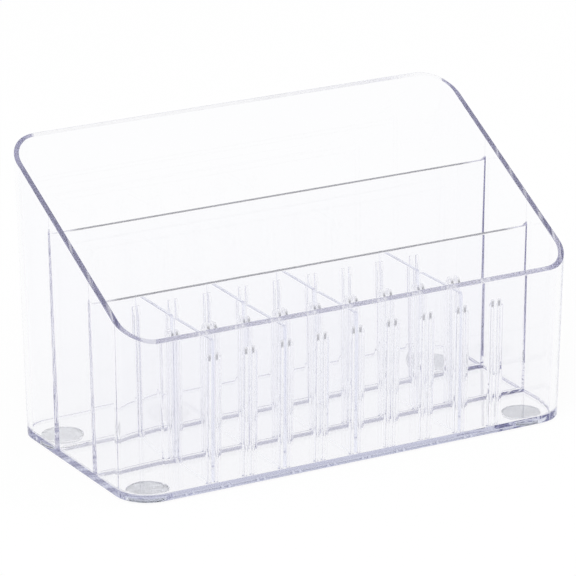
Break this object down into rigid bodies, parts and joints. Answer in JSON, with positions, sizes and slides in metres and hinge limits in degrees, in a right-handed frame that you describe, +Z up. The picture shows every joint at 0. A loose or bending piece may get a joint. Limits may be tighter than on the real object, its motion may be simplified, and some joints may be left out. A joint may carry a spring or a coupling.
{
  "type": "divided storage tray",
  "caption": "Clear open-top organizer tray with a high back and sloping sides, fixed long walls, lift-out dividers in ribbed slots and round feet.",
  "frame": {"origin": "middle of the tray's box, on the plane the feet stand on", "axes": "+X along the tray's width to the viewer's right, +Y from the low front to the high back, +Z up"},
  "size_m": [0.2244, 0.1156, 0.1348],
  "materials": {
    "clear_shell": "clear, polished moulding",
    "clear_divider": "clear, polished moulding",
    "foot_pad": "soft, light grey"
  },
  "bodies": {
    "tray": {"tray_shell": "clear_shell", "foot_front_left": "foot_pad", "foot_front_right": "foot_pad", "foot_rear_left": "foot_pad", "foot_rear_right": "foot_pad"},
    "middle_divider_1": {"middle_divider_1": "clear_divider"},
    "middle_divider_3": {"middle_divider_3": "clear_divider"},
    "middle_divider_5": {"middle_divider_5": "clear_divider"},
    "middle_divider_8": {"middle_divider_8": "clear_divider"},
    "front_divider_1": {"front_divider_1": "clear_divider"},
    "front_divider_3": {"front_divider_3": "clear_divider"},
    "front_divider_5": {"front_divider_5": "clear_divider"},
    "front_divider_8": {"front_divider_8": "clear_divider"}
  },
  "joints": [
    {"name": "middle_divider_1_lift", "type": "slide", "parent": "tray", "child": "middle_divider_1", "axis": [0, 0, 1], "range_m": [0, 0.1]},
    {"name": "middle_divider_3_lift", "type": "slide", "parent": "tray", "child": "middle_divider_3", "axis": [0, 0, 1], "range_m": [0, 0.1]},
    {"name": "middle_divider_5_lift", "type": "slide", "parent": "tray", "child": "middle_divider_5", "axis": [0, 0, 1], "range_m": [0, 0.1]},
    {"name": "middle_divider_8_lift", "type": "slide", "parent": "tray", "child": "middle_divider_8", "axis": [0, 0, 1], "range_m": [0, 0.1]},
    {"name": "front_divider_1_lift", "type": "slide", "parent": "tray", "child": "front_divider_1", "axis": [0, 0, 1], "range_m": [0, 0.08]},
    {"name": "front_divider_3_lift", "type": "slide", "parent": "tray", "child": "front_divider_3", "axis": [0, 0, 1], "range_m": [0, 0.08]},
    {"name": "front_divider_5_lift", "type": "slide", "parent": "tray", "child": "front_divider_5", "axis": [0, 0, 1], "range_m": [0, 0.08]},
    {"name": "front_divider_8_lift", "type": "slide", "parent": "tray", "child": "front_divider_8", "axis": [0, 0, 1], "range_m": [0, 0.08]}
  ]
}
